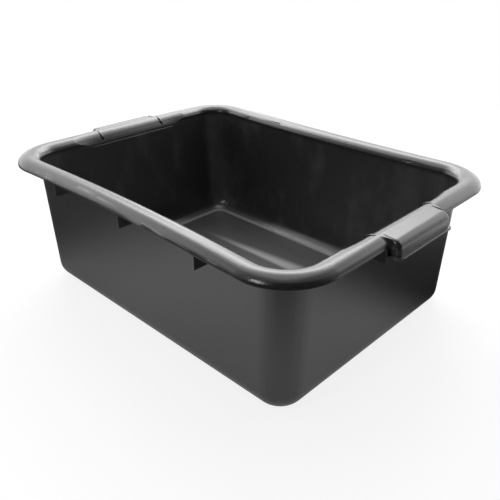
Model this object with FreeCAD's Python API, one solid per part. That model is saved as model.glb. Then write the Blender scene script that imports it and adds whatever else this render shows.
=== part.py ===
import FreeCAD, Part
import math
import os
from FreeCAD import Vector

# Bus tub, in millimetres: X along the tub, Y across it, Z up from the surface it stands on.

# Driving dimensions

# Rim, measured over its widest points
rim_length = 514.0
rim_width = 388.0
height = 181.0
rim_corner_radius = 64.7
side_bow = 5.4
rim_band = 28.8
rim_rise = 10.4
rim_shoulder_radius = 8.0
skin = 2.4

# Walls and floor
wall = 2.6
floor = 2.8
end_draft = 3.9
side_draft = 2.1
base_corner_radius = 30.0
base_edge_radius = 23.0
corner_strips = 6

# Raised panel in the middle of the floor
panel_inset = 24.0
panel_step = 0.9
panel_corner_radius = 28.0

# Handle at each end
handle_length = 98.0
handle_reach = 11.5
handle_bend_radius = 9.5
handle_slope = 4.0
handle_flare = 4.0
handle_drop = 20.5
handle_end_radius = 4.2
handle_blend_radius = 4.5
lip_reach = 3.0
lip_thickness = 2.6

# Rounded shoulder inside each handle
shoulder_radius = 17.0
shoulder_length = 126.0
shoulder_fade_depth = 9.2
shoulder_corner_gap = 5.0

# Stiffening fins under the rim
fin_thickness = 2.2
fin_drop = 16.0
fin_foot_radius = 6.0
side_fin_pitch = 127.4
side_fin_shift = 3.0
end_fin_gap = 4.2

# Sizes that follow from the ones above
half_length = rim_length / 2
half_width = rim_width / 2
spring_z = height - rim_rise
base_length = rim_length - 2 * (rim_band - wall) - 2 * spring_z * math.tan(math.radians(end_draft))
base_width = rim_width - 2 * (rim_band - wall) - 2 * spring_z * math.tan(math.radians(side_draft))
handle_x = half_length + handle_reach
lip_z = height - handle_drop
fin_z = spring_z - fin_drop


# Outlines in plan

class Outline:
    """Rounded rectangle whose long sides curve inwards by bow at the middle."""

    def __init__(self, half_l, half_w, radius, bow):
        self.half_l = half_l
        self.half_w = half_w
        self.radius = radius
        self.run = half_l - radius
        self.bow = bow
        if bow:
            self.reach = (self.run ** 2 + bow ** 2) / (2 * bow)
            self.lean = math.degrees(math.asin(self.run / self.reach))
        else:
            self.reach = None
            self.lean = 0.0

    def grown(self, offset):
        return Outline(self.half_l + offset, self.half_w + offset, self.radius + offset, self.bow)

    def corner(self, sx, sy):
        return Vector(sx * self.run, sy * (self.half_w - self.radius), 0)

    def corner_point(self, sx, sy, share, z):
        """Point on a corner, at a share of the way from the short side to the long side."""
        a = math.radians((90 + self.lean) * share)
        return self.corner(sx, sy) + Vector(sx * self.radius * math.cos(a), sy * self.radius * math.sin(a), z)

    def corner_edges(self, sx, sy, z):
        """Arcs, one for each strip, from the end of the short side to the start of the long side."""
        step = 1 / corner_strips
        arcs = []
        for number in range(corner_strips):
            points = [self.corner_point(sx, sy, (number + part) * step, z) for part in (0, 0.5, 1)]
            arcs.append(Part.Arc(*points).toShape())
        return arcs

    def side_edge(self, sy, z):
        first = self.corner_point(-1, sy, 1, z)
        last = self.corner_point(1, sy, 1, z)
        if not self.bow:
            return Part.makeLine(first, last)
        return Part.Arc(first, Vector(0, sy * (self.half_w - self.bow), z), last).toShape()

    def end_edge(self, sx, z):
        y = self.half_w - self.radius
        return Part.makeLine(Vector(sx * self.half_l, -y, z), Vector(sx * self.half_l, y, z))

    def wire(self, z):
        edges = [self.end_edge(1, z), self.end_edge(-1, z), self.side_edge(1, z), self.side_edge(-1, z)]
        for sx in (-1, 1):
            for sy in (-1, 1):
                edges += self.corner_edges(sx, sy, z)
        return Part.Wire(Part.__sortEdges__(edges))

    def side_y(self, x):
        """Distance of the long side from the centre line at x."""
        if not self.bow:
            return self.half_w
        long_radius = self.reach - self.radius
        return self.half_w - self.bow + long_radius - math.sqrt(long_radius ** 2 - x ** 2)


rim = Outline(half_length, half_width, rim_corner_radius, side_bow)


# Sections. Each is drawn in the XZ plane with x measured outwards from the rim's widest line.

def closed_face(edges):
    return Part.Face(Part.Wire(Part.__sortEdges__(edges)))


def line(x1, z1, x2, z2):
    return Part.makeLine(Vector(x1, 0, z1), Vector(x2, 0, z2))


def arc(cx, cz, r, start, end):
    """Arc about (cx, cz), angles in degrees from +x towards +z."""
    points = []
    for angle in (start, (start + end) / 2, end):
        a = math.radians(angle)
        points.append(Vector(cx + r * math.cos(a), 0, cz + r * math.sin(a)))
    return Part.Arc(*points).toShape()


def arch_centres():
    """Centres and angles of the three arcs that make the rim's arch."""
    half = rim_band / 2
    run = half - rim_shoulder_radius
    rise = rim_rise - rim_shoulder_radius
    drop = (run ** 2 - rise ** 2) / (2 * rise)
    tilt = math.degrees(math.atan2(drop, run))
    return run, drop, tilt, rim_rise + drop


def arch_face(below):
    """Region under the rim's arch, closed at a level below its springing."""
    run, drop, tilt, crown = arch_centres()
    middle = -rim_band / 2
    low = spring_z - below
    edges = [
        arc(middle - run, spring_z, rim_shoulder_radius, 180, 180 - tilt),
        arc(middle, spring_z - drop, crown, 180 - tilt, tilt),
        arc(middle + run, spring_z, rim_shoulder_radius, tilt, 0),
        line(-rim_band, low, 0, low),
    ]
    if below:
        edges.append(line(0, low, 0, spring_z))
        edges.append(line(-rim_band, low, -rim_band, spring_z))
    return closed_face(edges)


def channel_face():
    """Section of the hollow under the rim, with a flat roof between two slopes."""
    run, drop, tilt, crown = arch_centres()
    middle = -rim_band / 2
    half = rim_band / 2 - skin
    roof = spring_z + math.sqrt(crown ** 2 - run ** 2) - drop - skin
    low = spring_z - 1
    edges = [line(middle - run, roof, middle + run, roof), line(middle - half, low, middle + half, low)]
    for side in (-1, 1):
        edges.append(line(middle + side * run, roof, middle + side * half, roof - half + run))
        edges.append(line(middle + side * half, roof - half + run, middle + side * half, low))
    return closed_face(edges)


def swept(face, outline):
    """Ring with a constant section, following the outline."""
    up = Vector(0, 0, 1)
    pieces = []
    for sx in (-1, 1):
        run_y = 2 * (outline.half_w - outline.radius)
        end = face.copy()
        if sx < 0:
            end = end.mirror(Vector(0, 0, 0), Vector(1, 0, 0))
        end.translate(Vector(sx * outline.half_l, -run_y / 2, 0))
        pieces.append(end.extrude(Vector(0, run_y, 0)))
    for sx in (-1, 1):
        for sy in (-1, 1):
            centre = outline.corner(sx, sy)
            turned = face.copy()
            turned.translate(Vector(outline.radius, 0, 0))
            start = {(1, 1): 0, (-1, 1): 90, (-1, -1): 180, (1, -1): 270}[(sx, sy)]
            if sx * sy < 0:
                start -= outline.lean
            turned.rotate(Vector(0, 0, 0), up, start)
            turned.translate(centre)
            pieces.append(turned.revolve(centre, up, 90 + outline.lean))
    for sy in (-1, 1):
        if not outline.bow:
            side = face.copy()
            side.rotate(Vector(0, 0, 0), up, sy * 90)
            side.translate(Vector(-outline.run, sy * outline.half_w, 0))
            pieces.append(side.extrude(Vector(2 * outline.run, 0, 0)))
            continue
        far = outline.reach * math.cos(math.radians(outline.lean))
        middle = Vector(0, sy * (outline.half_w - outline.radius + far), 0)
        bowed = face.mirror(Vector(0, 0, 0), Vector(1, 0, 0))
        bowed.translate(Vector(outline.reach - outline.radius, 0, 0))
        bowed.rotate(Vector(0, 0, 0), up, -sy * 90 - outline.lean)
        bowed.translate(middle)
        pieces.append(bowed.revolve(middle, up, 2 * outline.lean))
    return pieces[0].multiFuse(pieces[1:]).removeSplitter()


# Tub walls and floor

def wall_outline(z, inset):
    """Outline of the tapered walls at a level, inset from their outer surface."""
    share = z / spring_z
    corner_radius = base_corner_radius + (rim_corner_radius - rim_band + wall - base_corner_radius) * share
    half_l = base_length / 2 + z * math.tan(math.radians(end_draft))
    half_w = base_width / 2 + z * math.tan(math.radians(side_draft))
    return Outline(half_l - inset, half_w - inset, corner_radius - inset, 0)


def tapered(inset, low_z):
    """Solid inside the walls' surface, inset from their outer one, with a rounded edge at its base."""
    draft = math.radians((end_draft + side_draft) / 2)
    r = base_edge_radius - inset
    join_z = low_z + r * (1 - math.sin(draft))
    depth = r * math.cos(draft)
    low = wall_outline(join_z, inset)
    edge = closed_face([
        arc(-depth, low_z + r, r, -90, -math.degrees(draft)),
        line(0, join_z, -depth, join_z),
        line(-depth, join_z, -depth, low_z),
    ])
    middle = Part.Face(low.grown(-depth).wire(low_z)).extrude(Vector(0, 0, join_z - low_z))
    top = rim.grown(wall - rim_band - inset)
    walls = Part.makeLoft([low.wire(join_z), top.wire(spring_z)], True, True)
    return walls.multiFuse([swept(edge, low), middle])


def shell():
    """Walls and floor in one skin."""
    return tapered(0, 0).cut(tapered(wall, floor))


def panel_block(z, thickness, grow):
    """Rounded panel shape in plan, as wide as the flat of the floor less the inset."""
    half_l = base_length / 2 - base_edge_radius - panel_inset + grow
    half_w = base_width / 2 - base_edge_radius - panel_inset + grow
    outline = Outline(half_l, half_w, panel_corner_radius + grow, 0)
    return Part.Face(outline.wire(z)).extrude(Vector(0, 0, thickness))


def floor_panel(body):
    """Step the middle of the floor up, on both faces, so that the tub stands on a border."""
    upper = panel_block(floor - 0.5, panel_step + 0.5, 0)
    return body.fuse(upper).cut(panel_block(-1, 1 + panel_step, -wall))


# Handles. Drawn for the end at +X and mirrored.

def handle_bend():
    """Centre of the bend between the handle's sloping top and its flared outer face."""
    slope = math.radians(handle_slope)
    flare = math.radians(handle_flare)
    top = (half_length - rim_band / 2) * math.sin(slope) + height * math.cos(slope) - handle_bend_radius
    side = handle_x * math.cos(flare) + lip_z * math.sin(flare) - handle_bend_radius
    across = math.cos(slope + flare)
    x = (side * math.cos(slope) - top * math.sin(flare)) / across
    z = (top * math.cos(flare) - side * math.sin(slope)) / across
    return x, z


def handle_face(inset):
    """Section of the handle, from the middle of the rim outwards."""
    root = half_length - rim_band / 2
    x, z = handle_bend()
    r = handle_bend_radius - inset
    slope = math.radians(handle_slope)
    flare = math.radians(handle_flare)
    top_x = x + r * math.sin(slope)
    top_z = z + r * math.cos(slope)
    side_x = x + r * math.cos(flare)
    side_z = z + r * math.sin(flare)
    low = lip_z if not inset else lip_z - 5
    low_x = side_x + (side_z - low) * math.tan(flare)
    root_z = top_z + (top_x - root) * math.tan(slope)
    return closed_face([
        line(root, root_z, top_x, top_z),
        arc(x, z, r, 90 - handle_slope, handle_flare),
        line(side_x, side_z, low_x, low),
        line(low_x, low, root, low),
        line(root, low, root, root_z),
    ])


def handle_block():
    """Outer form of the handle, with its end edges rounded and a lip around its lower edge."""
    half = handle_length / 2
    face = handle_face(0)
    face.translate(Vector(0, -half, 0))
    block = face.extrude(Vector(0, handle_length, 0))
    rounded = []
    for e in block.Edges:
        box = e.BoundBox
        at_end = box.YMax - box.YMin < 0.01
        above = box.ZMin > lip_z - 0.01 and box.ZMax > lip_z + 0.01
        if at_end and above and box.XMax > half_length - rim_band / 2 + 0.01:
            rounded.append(e)
    return block.makeFillet(handle_end_radius, rounded)


def lip():
    """Flange that turns out around the lower edge of the handle."""
    half = handle_length / 2 + lip_reach
    depth = handle_x + lip_reach - half_length + 4
    block = Part.makeBox(depth, 2 * half, lip_thickness, Vector(half_length - 4, -half, lip_z))
    upright = [e for e in block.Edges if e.BoundBox.ZMax - e.BoundBox.ZMin > lip_thickness - 0.01
               and e.BoundBox.XMin > half_length]
    block = block.makeFillet(lip_reach + handle_end_radius, upright)
    edge = [e for e in block.Edges if e.BoundBox.ZMax - e.BoundBox.ZMin < 0.01
            and e.BoundBox.XMax > half_length - 3]
    return block.makeChamfer(lip_thickness * 0.25, edge)


def handle_hollow():
    """Finger space inside the handle, open below."""
    half = handle_length / 2 - skin
    face = handle_face(skin)
    face.translate(Vector(0, -half, 0))
    return face.extrude(Vector(0, 2 * half, 0))


def handle_blend(sy):
    """Concave fillet where the end of the handle meets the top of the rim."""
    run, drop, tilt, crown = arch_centres()
    middle = half_length - rim_band / 2
    end = handle_length / 2
    r = handle_blend_radius
    pieces = []
    for cx, cz, radius, start, sweep in (
        (middle, spring_z - drop, crown, tilt, 90 - tilt),
        (middle + run, spring_z, rim_shoulder_radius, 0, tilt),
    ):
        low = radius - 1
        a = Vector(low, end - 1, 0)
        b = Vector(radius + r, end - 1, 0)
        c = Vector(radius + r, end, 0)
        d = Vector(radius, end + r, 0)
        e = Vector(low, end + r, 0)
        m = math.sqrt(0.5)
        bend = Vector(radius + r - r * m, end + r - r * m, 0)
        wire = Part.Wire([
            Part.makeLine(a, b), Part.makeLine(b, c), Part.Arc(c, bend, d).toShape(),
            Part.makeLine(d, e), Part.makeLine(e, a),
        ])
        ring = Part.Face(wire)
        ring.rotate(Vector(0, 0, 0), Vector(0, 1, 0), -start)
        ring = ring.revolve(Vector(0, 0, 0), Vector(0, 1, 0), -sweep)
        ring.translate(Vector(cx, 0, cz))
        pieces.append(ring)
    blend = pieces[0].fuse(pieces[1])
    limit = handle_face(0)
    limit.translate(Vector(0, -half_width, 0))
    blend = blend.common(limit.extrude(Vector(0, 2 * half_width, 0)))
    if sy < 0:
        blend = blend.mirror(Vector(0, 0, 0), Vector(0, 1, 0))
    return blend


def shoulder_corner(outer_radius, inner_radius):
    """Corner between two shoulder curves, for the wall behind the handle."""
    edge_x = half_length - rim_band
    centre_x = edge_x + shoulder_radius
    centre_z = height - shoulder_radius
    if inner_radius:
        slant = inner_radius * math.sqrt(0.5)
        return closed_face([
            arc(centre_x, centre_z, outer_radius, 90, 180),
            line(centre_x - outer_radius, centre_z, centre_x - inner_radius, centre_z),
            line(centre_x - inner_radius, centre_z, centre_x - slant, centre_z + slant),
            line(centre_x - slant, centre_z + slant, centre_x, centre_z + inner_radius),
            line(centre_x, centre_z + inner_radius, centre_x, centre_z + outer_radius),
        ])
    far = outer_radius + 6
    return closed_face([
        arc(centre_x, centre_z, outer_radius, 90, 180),
        line(centre_x - outer_radius, centre_z, centre_x - far, centre_z),
        line(centre_x - far, centre_z, centre_x - far, centre_z + far),
        line(centre_x - far, centre_z + far, centre_x, centre_z + far),
        line(centre_x, centre_z + far, centre_x, centre_z + outer_radius),
    ])


def faded(face):
    """Straight along the handle, then curving away inwards until just before the rim's corners."""
    half = shoulder_length / 2
    run = half_width - rim_corner_radius - shoulder_corner_gap - half
    fade_radius = (run ** 2 + shoulder_fade_depth ** 2) / (2 * shoulder_fade_depth)
    fade_angle = math.degrees(math.asin(run / fade_radius))
    start = face.copy()
    start.translate(Vector(0, -half, 0))
    pieces = [start.extrude(Vector(0, 2 * half, 0))]
    pivot_x = half_length - rim_band - fade_radius
    for sy in (-1, 1):
        end = face.copy()
        end.translate(Vector(0, sy * half, 0))
        pieces.append(end.revolve(Vector(pivot_x, sy * half, 0), Vector(0, 0, 1), sy * fade_angle))
    return pieces[0].multiFuse(pieces[1:]).removeSplitter()


# Fins under the rim

def fin_face(low_x):
    """Section of a fin, x measured outwards from the rim's edge."""
    foot = fin_z - fin_foot_radius
    return closed_face([
        line(low_x, spring_z, 0, spring_z),
        line(0, spring_z, 0, fin_z + 1),
        arc(-1, fin_z + 1, 1, 0, -90),
        line(-1, fin_z, low_x + 1 + fin_foot_radius, fin_z),
        arc(low_x + 1 + fin_foot_radius, foot, fin_foot_radius, 90, 180),
        line(low_x + 1, foot, low_x, foot),
        line(low_x, foot, low_x, spring_z),
    ])


def fin(rim_solid, face, low_x, edge_x, turn, along):
    """Thin plate from the wall to the rim's outer edge."""
    plate = face.copy()
    plate.translate(Vector(edge_x, -fin_thickness / 2, 0))
    plate = plate.extrude(Vector(0, fin_thickness, 0))
    cap = Part.makeBox(-low_x - 1, fin_thickness, rim_rise, Vector(edge_x + low_x, -fin_thickness / 2, spring_z))
    for piece in (plate, cap):
        piece.rotate(Vector(0, 0, 0), Vector(0, 0, 1), turn)
        piece.translate(along)
    return plate.fuse(cap.common(rim_solid))


def fins(rim_solid):
    low_x = 1.2 - rim_band
    face = fin_face(low_x)
    plates = []
    for sy, turn in ((-1, -90), (1, 90)):
        for step in (-1, 0, 1):
            x = side_fin_shift + step * side_fin_pitch
            plates.append(fin(rim_solid, face, low_x, rim.side_y(x), turn, Vector(x, 0, 0)))
    for turn in (0, 180):
        for sy in (-1, 1):
            y = sy * (handle_length / 2 + end_fin_gap)
            plates.append(fin(rim_solid, face, low_x, rim.half_l, turn, Vector(0, y, 0)))
    return plates


# The whole tub

def both_ends(shape):
    return [shape, shape.mirror(Vector(0, 0, 0), Vector(1, 0, 0))]


def tub():
    rim_solid = swept(arch_face(0), rim)
    rim_hollow = swept(channel_face(), rim)
    outer = [rim_solid]
    hollows = [rim_hollow]
    for piece in (handle_block(), handle_blend(1), handle_blend(-1), lip()):
        outer += both_ends(piece)
    hollows += both_ends(handle_hollow())
    body = outer[0].multiFuse(outer[1:])
    for hollow in hollows:
        body = body.cut(hollow)
    band = swept(arch_face(shoulder_radius - rim_rise), rim)
    bump = faded(shoulder_corner(shoulder_radius, shoulder_radius - skin)).common(band)
    scoop = faded(shoulder_corner(shoulder_radius, 0))
    body = body.multiFuse([shell()] + both_ends(bump))
    for piece in both_ends(scoop):
        body = body.cut(piece)
    body = floor_panel(body)
    body = body.multiFuse(fins(rim_solid))
    return body.removeSplitter()


os.makedirs("parts", exist_ok=True)
result = tub()
result.exportStep("parts/tub.step")
print("tub", result.isValid(), len(result.Solids), round(result.Volume), result.BoundBox)
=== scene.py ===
import bpy
import math
from mathutils import Matrix, Vector

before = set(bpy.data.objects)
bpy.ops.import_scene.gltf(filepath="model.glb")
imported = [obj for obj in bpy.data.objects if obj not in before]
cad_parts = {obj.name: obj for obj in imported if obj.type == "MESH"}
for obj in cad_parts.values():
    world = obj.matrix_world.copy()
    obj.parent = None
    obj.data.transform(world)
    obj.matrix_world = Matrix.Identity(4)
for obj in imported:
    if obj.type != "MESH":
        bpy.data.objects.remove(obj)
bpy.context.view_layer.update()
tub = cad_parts["tub"]
print("tub loaded")


# Camera: angles in degrees, lens and sensor in millimetres, all else in metres

cameraView = {
    "azimuth": 42.869, "elevation": 24.987, "distance": 0.85502, "roll": 0.366,
    "target": (0.002188, 0.05403, 0.09),
    "lens": 44.277, "sensor": 36,
    "shift": (-0.0405, -0.0722),
    "near": 0.01, "far": 50,
}


def addCamera(view):
    az = math.radians(view["azimuth"])
    el = math.radians(view["elevation"])
    back = Vector((math.sin(az) * math.cos(el), -math.cos(az) * math.cos(el), math.sin(el)))
    forward = -back
    right = forward.cross(Vector((0, 0, 1))).normalized()
    up = right.cross(forward)
    roll = math.radians(view["roll"])
    level = right
    right = level * math.cos(roll) + up * math.sin(roll)
    up = up * math.cos(roll) - level * math.sin(roll)
    data = bpy.data.cameras.new("photoCamera")
    data.lens = view["lens"]
    data.sensor_width = view["sensor"]
    data.shift_x, data.shift_y = view["shift"]
    data.clip_start = view["near"]
    data.clip_end = view["far"]
    camera = bpy.data.objects.new("photoCamera", data)
    turn = Matrix((right, up, back)).transposed().to_4x4()
    camera.matrix_world = Matrix.Translation(Vector(view["target"]) + back * view["distance"]) @ turn
    bpy.context.scene.collection.objects.link(camera)
    bpy.context.scene.camera = camera


addCamera(cameraView)
print("camera placed")


# Node helpers

mixSockets = {"RGBA": (6, 7, 2), "FLOAT": (2, 3, 0)}  # where a Mix node has A, B and its result


def makeMaterial(name):
    material = bpy.data.materials.new(name)
    material.use_nodes = True
    material.node_tree.nodes.clear()
    return material, material.node_tree


def addNode(tree, kind, **values):
    node = tree.nodes.new(kind)
    for key, value in values.items():
        setattr(node, key, value)
    return node


def feed(tree, socket, value):
    if isinstance(value, (int, float, tuple)):
        socket.default_value = value
    else:
        tree.links.new(value, socket)


def mathNode(tree, operation, first, second=0.0):
    node = addNode(tree, "ShaderNodeMath", operation=operation)
    feed(tree, node.inputs[0], first)
    feed(tree, node.inputs[1], second)
    return node.outputs[0]


def multiply(tree, first, *others):
    result = first
    for other in others:
        result = mathNode(tree, "MULTIPLY", result, other)
    return result


def inverse(tree, value):
    return mathNode(tree, "SUBTRACT", 1.0, value)


# Smooth change from low to high as the value goes from start to end
def ramp(tree, value, start, end, low=0.0, high=1.0):
    node = addNode(tree, "ShaderNodeMapRange", interpolation_type="SMOOTHSTEP")
    feed(tree, node.inputs["Value"], value)
    for name, number in (("From Min", start), ("From Max", end), ("To Min", low), ("To Max", high)):
        feed(tree, node.inputs[name], number)
    return node.outputs["Result"]


def along(tree, vector, direction):
    node = addNode(tree, "ShaderNodeVectorMath", operation="DOT_PRODUCT")
    feed(tree, node.inputs[0], vector)
    feed(tree, node.inputs[1], direction)
    return node.outputs["Value"]


def stretched(tree, vector, factors):
    node = addNode(tree, "ShaderNodeVectorMath", operation="MULTIPLY")
    feed(tree, node.inputs[0], vector)
    feed(tree, node.inputs[1], factors)
    return node.outputs[0]


def noise(tree, vector, scale, detail):
    texture = addNode(tree, "ShaderNodeTexNoise")
    feed(tree, texture.inputs["Vector"], vector)
    feed(tree, texture.inputs["Scale"], scale)
    feed(tree, texture.inputs["Detail"], detail)
    return texture.outputs["Fac"]


def mix(tree, kind, share, first, second):
    node = addNode(tree, "ShaderNodeMix", data_type=kind)
    firstPlace, secondPlace, resultPlace = mixSockets[kind]
    feed(tree, node.inputs[0], share)
    feed(tree, node.inputs[firstPlace], first)
    feed(tree, node.inputs[secondPlace], second)
    return node.outputs[resultPlace]


def mixShaders(tree, share, first, second):
    node = addNode(tree, "ShaderNodeMixShader")
    feed(tree, node.inputs[0], share)
    feed(tree, node.inputs[1], first)
    feed(tree, node.inputs[2], second)
    return node.outputs[0]


# Studio: the camera sees a white floor and white surroundings. On its own side the surroundings give
# less light, and reflections see a floor with painted shade there. Soft light comes from the far side, the
# far end, the back and above, and a small lamp makes the highlight on the front corner

studio = {
    "floorColor": (1.0, 1.0, 1.0, 1),
    "floorDark": (0.04, 0.04, 0.04, 1),  # painted shade: the floor as reflections see it where it is not lit
    "floorSize": 30.0,
    "floorShade": 0.16,                  # how much of the tub's shadow the camera sees
    "shadeFade": (0.5, 1.3),
    "glossyShade": 0.5,                  # how much more of it reflections see
    "cameraSide": (0.680, -0.733, 0.0),
    "cameraSideFade": (0.25, 0.62),
    "leftFade": (-0.06, -0.34),
    "leftLow": 0.05,
    "rightSide": (0.3, 0.95, 0.0),
    "stripNear": (0.10, 0.22),           # painted shade: a dark strip across the floor as reflections see it, right of the tub
    "stripFar": (0.40, 0.50),
    "worldColor": (1, 1, 1, 1),
    "worldStrength": 0.5,
    "worldDark": 0.06,
    "worldFade": (-0.15, 0.55),
}

softboxes = {
    "farSideSoftbox": {
        "location": (-0.20, 1.15, 0.68), "aim": (-0.1, 0, 0.5), "size": (2.6, 1.3), "power": 18.0,
    },
    "farEndSoftbox": {
        "location": (-1.20, 0.10, 0.68), "aim": (0, 0.1, 0.5), "size": (2.5, 1.3), "power": 16.0,
    },
    "backSoftbox": {
        "location": (-0.66, 0.72, 1.18), "aim": (0.1, -0.1, 0.15), "size": (1.5, 0.55), "power": 13.0,
    },
    "overheadSoftbox": {
        "location": (-0.38, 0.43, 1.42), "aim": (-0.38, 0.43, 0), "size": (1.5, 1.5), "power": 9.0,
    },
    "cornerLamp": {
        "location": (0.10, -1.05, 0.74), "aim": (0.2, -0.18, 0.17), "size": (0.14, 0.04), "power": 1.9,
    },
}


# Painted light and shade on the floor, seen only by reflections: the part of the floor that is lit
def litFloor(tree, place, setup):
    towards = ramp(tree, along(tree, place, setup["cameraSide"]), *setup["cameraSideFade"], 1.0, 0.0)
    left = ramp(tree, along(tree, place, (1, 0, 0)), *setup["leftFade"], 1.0, setup["leftLow"])
    sideways = along(tree, place, setup["rightSide"])
    strip = ramp(tree, sideways, *setup["stripNear"], 1.0, 0.0)
    right = mathNode(tree, "MAXIMUM", strip, ramp(tree, sideways, *setup["stripFar"]))
    return multiply(tree, towards, left, right)


def paleFloor(setup):
    material, tree = makeMaterial("paleFloor")
    place = addNode(tree, "ShaderNodeTexCoord").outputs["Object"]
    path = addNode(tree, "ShaderNodeLightPath")
    camera = path.outputs["Is Camera Ray"]
    glossy = path.outputs["Is Glossy Ray"]
    # painted shade: reflections see the floor darkened outside its painted lit part
    faded = multiply(tree, glossy, inverse(tree, litFloor(tree, place, setup)))
    tint = mix(tree, "RGBA", faded, setup["floorColor"], setup["floorDark"])
    surface = addNode(tree, "ShaderNodeBsdfDiffuse")
    feed(tree, surface.inputs["Color"], tint)
    glow = addNode(tree, "ShaderNodeEmission")
    feed(tree, glow.inputs["Color"], tint)
    distance = addNode(tree, "ShaderNodeVectorMath", operation="LENGTH")
    feed(tree, distance.inputs[0], place)
    shade = ramp(tree, distance.outputs["Value"], *setup["shadeFade"], setup["floorShade"], 0.0)
    share = mathNode(tree, "ADD", multiply(tree, glossy, setup["glossyShade"]), shade)
    shaded = mixShaders(tree, share, glow.outputs[0], surface.outputs[0])
    seen = mathNode(tree, "MAXIMUM", camera, glossy)
    output = addNode(tree, "ShaderNodeOutputMaterial")
    feed(tree, output.inputs["Surface"], mixShaders(tree, seen, surface.outputs[0], shaded))
    return material


def addFloor(setup):
    reach = setup["floorSize"] / 2
    corners = [(-reach, -reach, 0), (reach, -reach, 0), (reach, reach, 0), (-reach, reach, 0)]
    mesh = bpy.data.meshes.new("floor")
    mesh.from_pydata(corners, [], [(0, 1, 2, 3)])
    mesh.materials.append(paleFloor(setup))
    floor = bpy.data.objects.new("floor", mesh)
    bpy.context.scene.collection.objects.link(floor)


def addWorld(setup):
    world = bpy.data.worlds.new("studioWorld")
    world.use_nodes = True
    tree = world.node_tree
    tree.nodes.clear()
    path = addNode(tree, "ShaderNodeLightPath")
    direction = addNode(tree, "ShaderNodeTexCoord").outputs["Generated"]
    facing = along(tree, direction, setup["cameraSide"])
    around = ramp(tree, facing, *setup["worldFade"], setup["worldStrength"], setup["worldDark"])
    background = addNode(tree, "ShaderNodeBackground")
    feed(tree, background.inputs["Color"], setup["worldColor"])
    strength = mathNode(tree, "MAXIMUM", around, path.outputs["Is Camera Ray"])
    feed(tree, background.inputs["Strength"], strength)
    output = addNode(tree, "ShaderNodeOutputWorld")
    feed(tree, output.inputs["Surface"], background.outputs[0])
    bpy.context.scene.world = world


def addSoftbox(name, box):
    light = bpy.data.lights.new(name, "AREA")
    light.shape = "RECTANGLE"
    light.size, light.size_y = box["size"]
    light.energy = box["power"]
    lamp = bpy.data.objects.new(name, light)
    lamp.location = box["location"]
    lamp.rotation_euler = (Vector(box["aim"]) - Vector(box["location"])).to_track_quat("-Z", "Y").to_euler()
    bpy.context.scene.collection.objects.link(lamp)


addFloor(studio)
addWorld(studio)
for boxName, box in softboxes.items():
    addSoftbox(boxName, box)
bpy.context.scene.view_settings.view_transform = "Standard"
print("studio lit")


# Tub plastic: satin outside, glossier on the rim and inside, hazy inside walls, a lighter inner floor with
# painted light on it

tubLook = {
    "index": 1.7,
    "outsideColor": (0.012, 0.012, 0.0125, 1),
    "insideColor": (0.030, 0.030, 0.031, 1),
    "hazeColor": (0.055, 0.055, 0.056, 1),
    "floorColor": (0.10, 0.10, 0.101, 1),
    # painted light on the inner floor
    "litWedgeColor": (0.42, 0.42, 0.424, 1),
    # painted highlight where the floor turns up into the walls
    "footHighlightColor": (0.32, 0.32, 0.323, 1),
    "rimRoughness": 0.25,
    "wallRoughness": 0.36,
    "insideRoughness": 0.26,
    "rimLevel": (0.166, 0.171),      # heights between which the wall gives way to the rim
    "floorLevel": (0.012, 0.004),    # and to the floor
    "outsideFade": (0.0, 0.02),
    "cloudScale": 22.0,
    "cloudDetail": 3,
    "cloudStretch": (1, 1, 0.45),    # clouds of haze are drawn out upwards
    "cloudRange": (0.50, 0.72),
    "litWedgeStart": (-0.18, -0.06),      # painted light: a lighter wedge on the inner floor, wider to the right
    "litWedgeNear": (0.064, 0.073),
    "litWedgeFar": (0.092, 0.076),
    "litWedgeSpread": 0.10,
    "edgeEnds": (0.183, 0.188),      # painted highlight: a light line where the floor turns up into the walls
    "edgeSides": (0.126, 0.131),
    "edgeFoot": (0.0029, 0.0032),
    "edgeTop": (0.0052, 0.0040),
    "grainScale": 900.0,
    "grainDetail": 2,
    "grainDepth": 0.00012,
    "bevelRadius": 0.0010,
    "bevelSamples": 6,
}


# Painted light: a lighter wedge of the inner floor, where light falls
def paintedLitWedge(tree, lengthwise, across, look):
    farEdge = mathNode(tree, "SUBTRACT", across, multiply(tree, lengthwise, look["litWedgeSpread"]))
    nearSide = ramp(tree, across, *look["litWedgeNear"])
    farSide = ramp(tree, farEdge, *look["litWedgeFar"])
    return multiply(tree, nearSide, farSide, ramp(tree, lengthwise, *look["litWedgeStart"]))


# Painted highlight along the foot of the walls
def paintedFootHighlight(tree, lengthwise, across, level, look):
    nearEnd = ramp(tree, mathNode(tree, "ABSOLUTE", lengthwise), *look["edgeEnds"])
    nearSide = ramp(tree, mathNode(tree, "ABSOLUTE", across), *look["edgeSides"])
    band = multiply(tree, ramp(tree, level, *look["edgeFoot"]), ramp(tree, level, *look["edgeTop"]))
    return multiply(tree, band, mathNode(tree, "MAXIMUM", nearEnd, nearSide))


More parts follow.
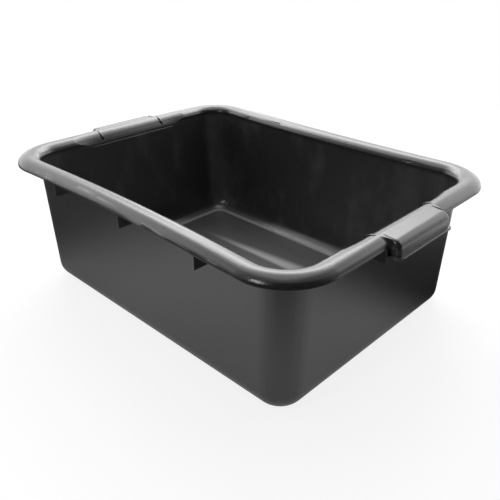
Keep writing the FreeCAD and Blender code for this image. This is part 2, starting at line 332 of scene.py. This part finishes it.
def tubColor(tree, place, level, outside, onRim, look):
    inside = inverse(tree, outside)
    lengthwise = along(tree, place, (1, 0, 0))
    across = along(tree, place, (0, 1, 0))
    onFloor = multiply(tree, ramp(tree, level, *look["floorLevel"]), inside)
    drawnOut = stretched(tree, place, look["cloudStretch"])
    clouds = noise(tree, drawnOut, look["cloudScale"], look["cloudDetail"])
    haze = multiply(tree, ramp(tree, clouds, *look["cloudRange"]), inside, inverse(tree, onRim))
    # painted light: a lighter wedge on the inner floor
    litWedge = multiply(tree, paintedLitWedge(tree, lengthwise, across, look), onFloor)
    # painted highlight along the foot of the inner walls
    footHighlight = multiply(tree, paintedFootHighlight(tree, lengthwise, across, level, look), inside)
    color = mix(tree, "RGBA", outside, look["insideColor"], look["outsideColor"])
    color = mix(tree, "RGBA", haze, color, look["hazeColor"])
    color = mix(tree, "RGBA", onFloor, color, look["floorColor"])
    # painted light on the inner floor
    color = mix(tree, "RGBA", litWedge, color, look["litWedgeColor"])
    # painted highlight at the foot of the inner walls
    return mix(tree, "RGBA", footHighlight, color, look["footHighlightColor"])


# Fine grain, over edges that a bevel softens
def tubSurface(tree, place, look):
    edges = addNode(tree, "ShaderNodeBevel", samples=look["bevelSamples"])
    feed(tree, edges.inputs["Radius"], look["bevelRadius"])
    bump = addNode(tree, "ShaderNodeBump")
    feed(tree, bump.inputs["Strength"], 1.0)
    feed(tree, bump.inputs["Distance"], look["grainDepth"])
    feed(tree, bump.inputs["Height"], noise(tree, place, look["grainScale"], look["grainDetail"]))
    feed(tree, bump.inputs["Normal"], edges.outputs[0])
    return bump.outputs[0]


def tubPlastic(look):
    material, tree = makeMaterial("tubPlastic")
    coordinates = addNode(tree, "ShaderNodeTexCoord")
    place = coordinates.outputs["Object"]
    level = along(tree, place, (0, 0, 1))
    onRim = ramp(tree, level, *look["rimLevel"])
    outward = along(tree, stretched(tree, coordinates.outputs["Normal"], (1, 1, 0)), place)
    outside = mathNode(tree, "MAXIMUM", ramp(tree, outward, *look["outsideFade"]), onRim)
    wallFinish = ramp(tree, outside, 0, 1, look["insideRoughness"], look["wallRoughness"])
    shader = addNode(tree, "ShaderNodeBsdfPrincipled")
    feed(tree, shader.inputs["IOR"], look["index"])
    feed(tree, shader.inputs["Roughness"], mix(tree, "FLOAT", onRim, wallFinish, look["rimRoughness"]))
    feed(tree, shader.inputs["Base Color"], tubColor(tree, place, level, outside, onRim, look))
    feed(tree, shader.inputs["Normal"], tubSurface(tree, place, look))
    output = addNode(tree, "ShaderNodeOutputMaterial")
    feed(tree, output.inputs["Surface"], shader.outputs[0])
    return material


tubMaterial = tubPlastic(tubLook)
for slot in tub.material_slots:
    slot.material = tubMaterial
print("tub finished")
